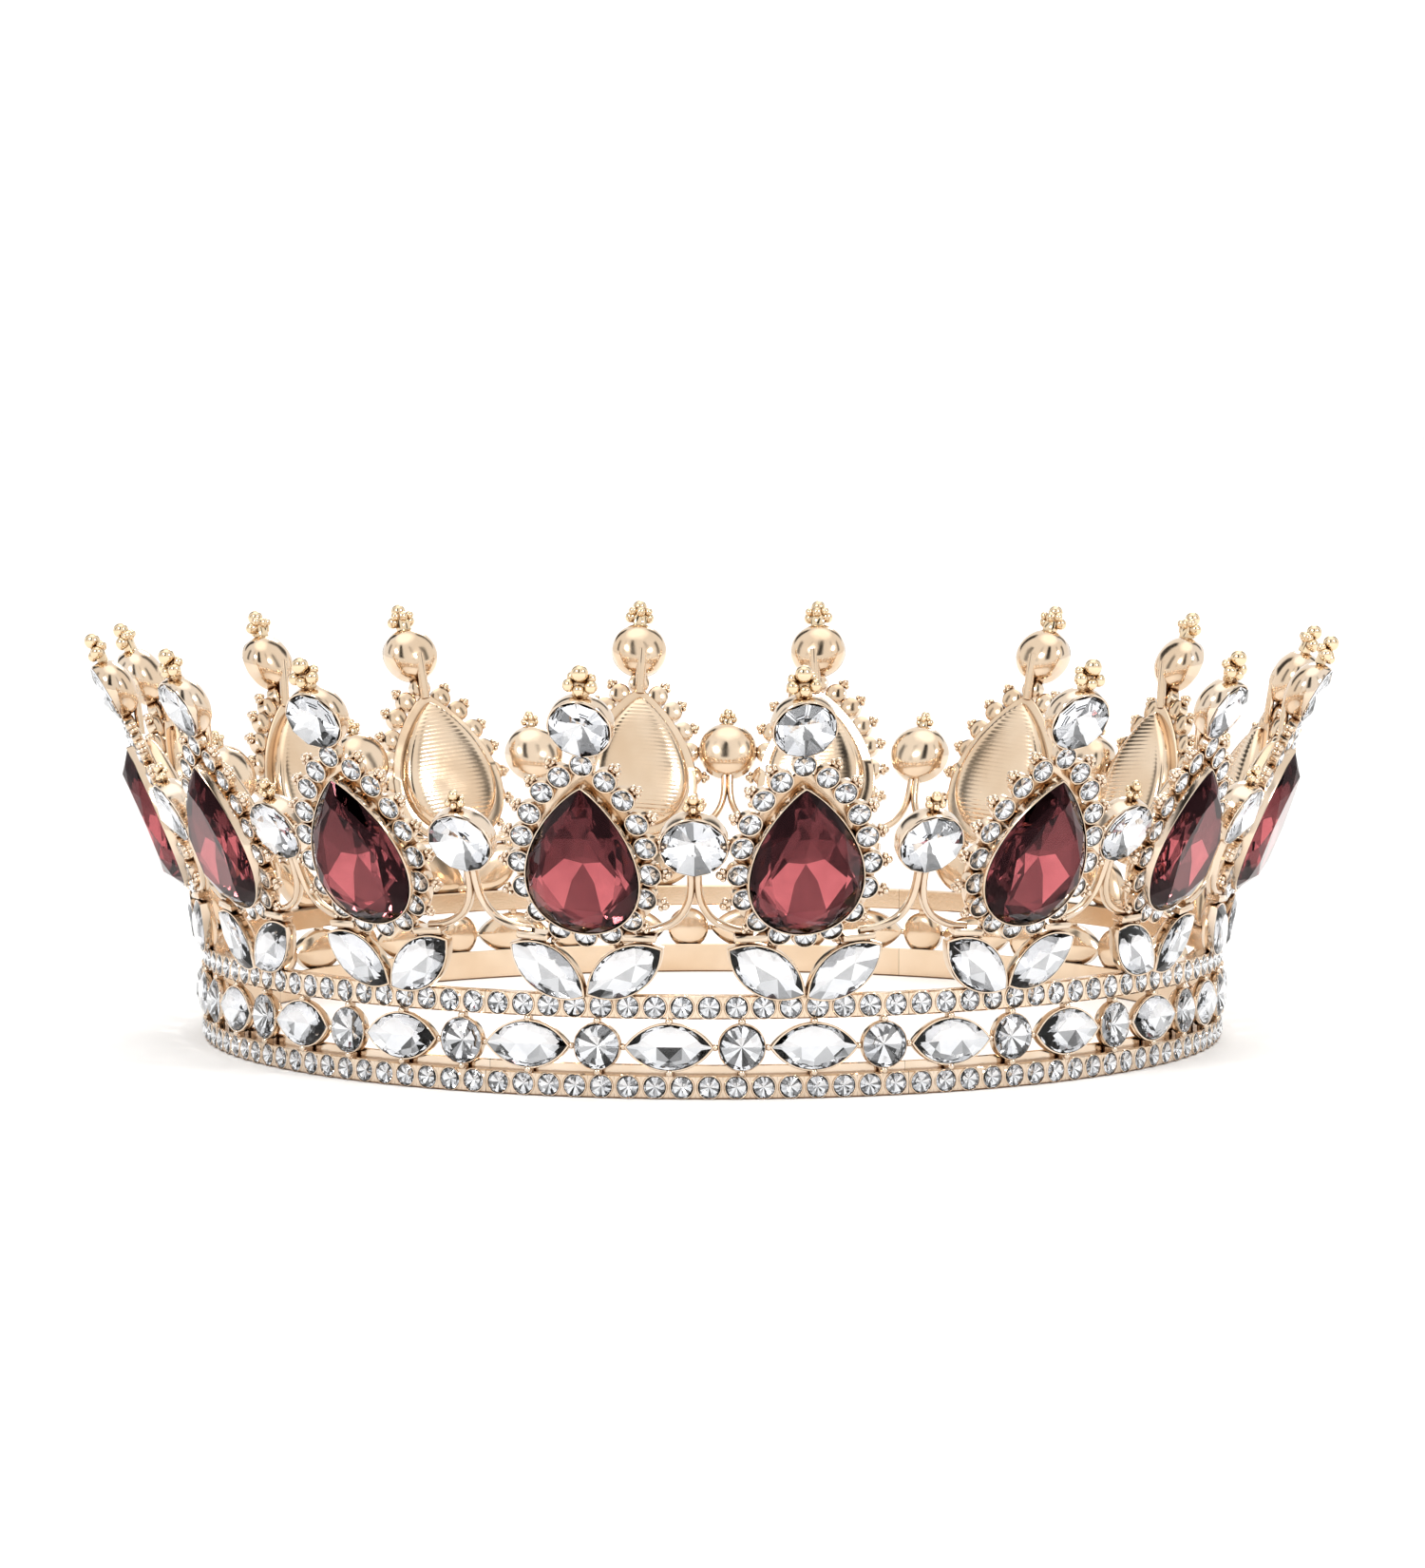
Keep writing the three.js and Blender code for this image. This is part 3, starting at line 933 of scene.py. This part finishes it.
def addBeads(shape, foot, size):
    # a large bead over two smaller ones, with a smaller one in front and behind, on a short neck
    beads = [
        (0, 3.35, 0, 1.2), (-1.5, 1.5, 0.1, 0.95), (1.5, 1.5, 0.1, 0.95), (0, 1.15, 0.75, 0.8),
        (-1.35, 2.3, -0.9, 0.7), (1.35, 2.3, -0.9, 0.7), (0, 2.2, -0.9, 0.9),
    ]
    for x, y, z, radius in beads:
        spot = foot @ moved(x * size, y * size, z * size)
        addBall(shape, spot, radius * size, segments=20, rings=14, slot=beadSlot)
    neck = foot @ moved(0, 0.8 * size, -0.3 * size)
    addBlock(shape, neck, 2.2 * size, 2.4 * size, 1.6 * size, soft=0.3 * size, slot=beadSlot)


def topFinial(across):
    shape = newShape()
    place = onPanel(across, finialForm["topHeight"], tilt=finialForm["tilt"])
    addDeepCup(shape, place, topRound["radius"])
    foot = onPanel(across, finialForm["topHeight"]) @ moved(0, topRound["radius"] + 0.05, 0.4)
    addBeads(shape, foot, finialForm["topBeads"])
    stem = [onPanel(across, height, out=out).translation for height, out in finialForm["stem"]]
    addWire(shape, stem, 1.7, 1.3, outwards)
    return shape


def addScroll(shape, side):
    line = [onPanel(side * across, height, out=-0.3).translation for across, height in finialForm["scroll"]]
    addWire(shape, line, 1.15, 1.5, outwards)


def lowFinial():
    shape = newShape()
    place = onPanel(0, finialForm["lowHeight"], tilt=finialForm["tilt"])
    addDeepCup(shape, place, lowRound["radius"])
    foot = onPanel(0, finialForm["lowHeight"]) @ moved(0, lowRound["radius"], 0.5)
    addBeads(shape, foot, finialForm["lowBeads"])
    for side in (-1, 1):
        addScroll(shape, side)
    return shape


def turnedBy(shape, turn):
    shape["corners"] = [turn @ c for c in shape["corners"]]
    return shape


for letter, across in columns.items():
    mesh = meshOf("topFinial", topFinial(across), finialFinishes, inside=castSlot)
    putRound("top_finial_#" + letter, mesh, stands="panel_#")
    stone = newShape()
    place = onPanel(across, finialForm["topHeight"], tilt=finialForm["tilt"])
    addRivoli(stone, place @ moved(0, 0, finialForm["girdle"]), topRound, rise=1.5, depth=1.9)
    putRound("top_crystal_#" + letter, meshOf("topCrystal", stone, clearStone, flat=True),
             stands="top_stone_#" + letter)

# the second one stands over the joint, soldered to the next panel's bar as well
for letter, turn in (("a", Matrix.Identity(4)), ("b", overJoint)):
    mesh = meshOf("lowFinial", turnedBy(lowFinial(), turn), finialFinishes, inside=castSlot)
    putRound("low_finial_#" + letter, mesh, stands="panel_#")
    stone = newShape()
    place = onPanel(0, finialForm["lowHeight"], tilt=finialForm["tilt"])
    addRivoli(stone, turn @ place @ moved(0, 0, finialForm["girdle"]), lowRound, rise=1.6, depth=1.75)
    putRound("low_crystal_#" + letter, meshOf("lowCrystal", stone, clearStone, flat=True),
             stands="low_stone_#" + letter)
print("finials ready:", len(allPieces), "pieces")

# floor

floorForm = {"radius": 6.0, "colour": (0.96, 0.96, 0.96), "cloud": (0.95, 0.95, 0.95)}
floorMesh = bpy.data.meshes.new("paleFloor")
work = bmesh.new()
bmesh.ops.create_circle(work, cap_ends=True, segments=64, radius=floorForm["radius"])
work.to_mesh(floorMesh)
work.free()
floor = bpy.data.objects.new("paleFloor", floorMesh)
bpy.context.scene.collection.objects.link(floor)
floor.location.z = -0.00005
floorFinish, tree, shader = newFinish("palePaper")
paper = noiseOn(tree, 8, 2)
tone = rampOn(tree, paper, "Fac", [(0.4, floorForm["cloud"]), (0.6, floorForm["colour"])])
link(tree, tone, "Color", shader, "Base Color")
shader.inputs["Roughness"].default_value = 0.9
shader.inputs["Specular IOR Level"].default_value = 0.1
floorMesh.materials.append(floorFinish)

# light: a white room with a few dark gaps between its soft panels, for facets and metal to mirror

room = {
    "white": 1.12,
    "roof": 1.8,
    "roofEdge": 0.88,  # sine of the height where the roof panel begins
    "roofSoft": 12.0,  # how sharply it begins
    "sideSoft": 45.0,  # how sharp a gap is at its sides
    "endSoft": 20.0,  # and at its top and bottom
}
gaps = [  # middle and half width round the room, lowest and highest edge, all in degrees, and how bright
    {"round": -98, "half": 13, "low": 14, "high": 64, "level": 0.03},
    {"round": -136, "half": 7, "low": 12, "high": 58, "level": 0.08},
    {"round": -48, "half": 8, "low": 12, "high": 58, "level": 0.08},
    {"round": -174, "half": 11, "low": 8, "high": 46, "level": 0.04},
    {"round": -8, "half": 11, "low": 8, "high": 46, "level": 0.04},
    {"round": 134, "half": 14, "low": 16, "high": 58, "level": 0.06},
    {"round": 50, "half": 12, "low": 18, "high": 60, "level": 0.06},
]
world = bpy.data.worlds.new("softStudio")
bpy.context.scene.world = world
world.use_nodes = True
tree = world.node_tree
background = tree.nodes["Background"]


def sums(operation, a, b=None, clamp=False):
    node = tree.nodes.new("ShaderNodeMath")
    node.operation = operation
    node.use_clamp = clamp
    for socket, value in zip(node.inputs, (a, b)):
        if value is None:
            continue
        if isinstance(value, (int, float)):
            socket.default_value = value
        else:
            tree.links.new(value, socket)
    return node.outputs[0]


direction = tree.nodes.new("ShaderNodeTexCoord")
split = tree.nodes.new("ShaderNodeSeparateXYZ")
link(tree, direction, "Generated", split, "Vector")
azimuth = sums("ARCTAN2", split.outputs["Y"], split.outputs["X"])
sine = split.outputs["Z"]
roof = sums("MULTIPLY", sums("SUBTRACT", sine, room["roofEdge"]), room["roofSoft"], clamp=True)
level = sums("ADD", sums("MULTIPLY", roof, room["roof"] - room["white"]), room["white"])
for gap in gaps:
    turnTo = sums("COSINE", sums("SUBTRACT", azimuth, math.radians(gap["round"])))
    side = math.cos(math.radians(gap["half"]))
    low, high = math.sin(math.radians(gap["low"])), math.sin(math.radians(gap["high"]))
    within = sums("MULTIPLY", sums("SUBTRACT", turnTo, side), room["sideSoft"], clamp=True)
    above = sums("MULTIPLY", sums("SUBTRACT", sine, low), room["endSoft"], clamp=True)
    below = sums("MULTIPLY", sums("SUBTRACT", high, sine), room["endSoft"], clamp=True)
    inGap = sums("MULTIPLY", within, sums("MULTIPLY", above, below))
    kept = sums("SUBTRACT", 1.0, inGap)
    level = sums("ADD", sums("MULTIPLY", level, kept), sums("MULTIPLY", inGap, gap["level"]))
tree.links.new(level, background.inputs["Strength"])
background.inputs["Color"].default_value = (1.0, 0.995, 0.985, 1)

lamps = {
    "keyLeft": {"at": (-0.9, -1.2, 1.1), "size": 0.35, "power": 12, "colour": (1, 0.98, 0.95)},
    "keyRight": {"at": (1.1, -0.9, 0.9), "size": 0.25, "power": 9, "colour": (1, 0.97, 0.93)},
    "fillBack": {"at": (0.2, 1.3, 0.9), "size": 0.5, "power": 6, "colour": (1, 0.96, 0.9)},
}
for name, lamp in lamps.items():
    light = bpy.data.lights.new(name, "AREA")
    light.shape = "DISK"
    light.size = lamp["size"]
    light.energy = lamp["power"]
    light.color = lamp["colour"]
    holder = bpy.data.objects.new(name, light)
    holder.location = lamp["at"]
    holder.rotation_euler = (Vector((0, 0, 0.03)) - Vector(lamp["at"])).to_track_quat("-Z", "Y").to_euler()
    bpy.context.scene.collection.objects.link(holder)

# camera

view = {
    "distance": 0.8065,
    "height": 0.1032,
    "swing": math.radians(1.74),
    "down": math.radians(4.662),
    "lens": 122.28,
}
camera = bpy.data.cameras.new("frontCamera")
camera.lens = view["lens"]
camera.sensor_width = 36
camera.clip_start = 0.01
holder = bpy.data.objects.new("frontCamera", camera)
across, back = view["distance"] * math.sin(view["swing"]), view["distance"] * math.cos(view["swing"])
holder.location = (across, -back, view["height"])
holder.rotation_euler = (math.pi / 2 - view["down"], 0, view["swing"])
bpy.context.scene.collection.objects.link(holder)
bpy.context.scene.camera = holder

bpy.context.scene.view_settings.view_transform = "Standard"
bpy.context.scene.view_settings.look = "None"

print("scene ready")
